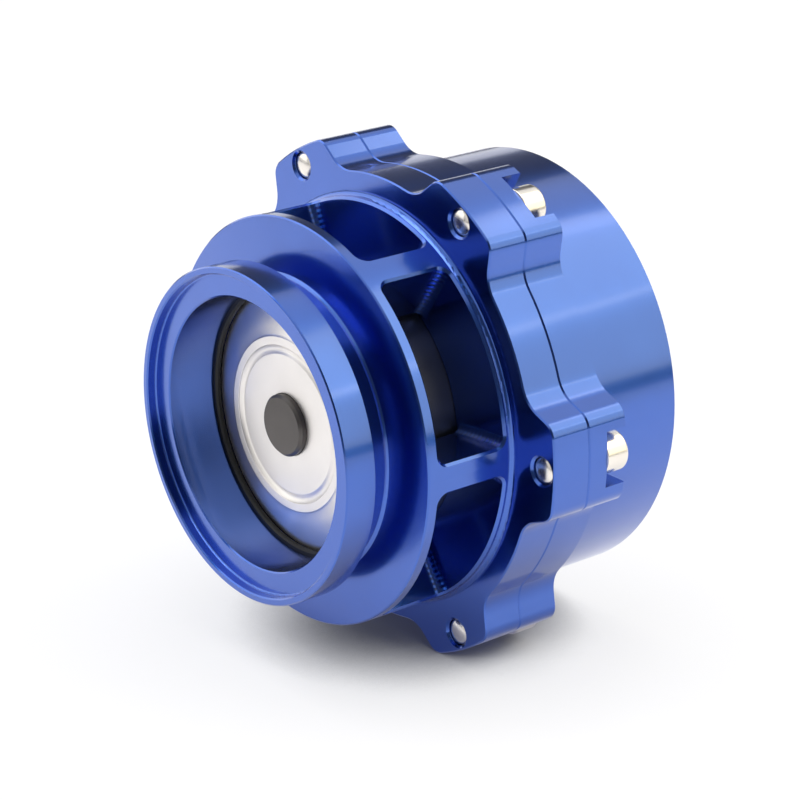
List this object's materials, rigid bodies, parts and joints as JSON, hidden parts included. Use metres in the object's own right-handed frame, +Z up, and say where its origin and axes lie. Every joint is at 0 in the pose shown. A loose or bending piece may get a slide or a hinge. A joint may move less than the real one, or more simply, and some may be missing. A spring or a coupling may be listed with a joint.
{
  "type": "blow-off valve",
  "caption": "Piston blow-off valve for a turbo inlet pipe, with a clamp lip, ribbed outlet windows, lugged flanges and a round rear cap.",
  "frame": {"origin": "centre of the inlet register's mouth, in the plane of the lip's front", "axes": "+Y along the valve's axis from the inlet to the cap, +Z up through the top window, +X to the right"},
  "size_m": [0.0974, 0.0676, 0.0898],
  "materials": {
    "blue_anodised": "anodised, satin",
    "polished_aluminium": "turned and polished",
    "plain_aluminium": "turned",
    "black_steel": "black oxide",
    "stainless_steel": "polished",
    "plated_steel": "zinc plated",
    "spring_steel": "shot-peened",
    "black_rubber": "matt",
    "bearing_plastic": "machined"
  },
  "bodies": {
    "housing": {"valve_body": "blue_anodised", "cap": "blue_anodised", "seat_seal": "black_rubber", "guide_bush": "bearing_plastic", "bush_circlip": "spring_steel", "diaphragm": "black_rubber", "main_spring": "spring_steel", "spring_shim": "plated_steel", "cap_screw_1": "stainless_steel", "cap_screw_2": "stainless_steel", "cap_screw_3": "stainless_steel", "cap_screw_4": "stainless_steel", "cap_screw_5": "stainless_steel", "cap_screw_6": "stainless_steel"},
    "valve": {"valve_piston": "polished_aluminium", "centre_stud": "black_steel", "stud_seal": "black_rubber", "piston_plate": "plain_aluminium", "spring_cup": "plain_aluminium", "stud_washer": "plated_steel", "stud_nut": "plated_steel"}
  },
  "joints": [
    {"name": "valve_slide", "type": "slide", "parent": "housing", "child": "valve", "axis": [0, 1, 0], "range_m": [0, 0.012], "stiffness_N_per_m": 1850, "springref_m": -0.022, "deforming": ["main_spring", "diaphragm"]}
  ]
}
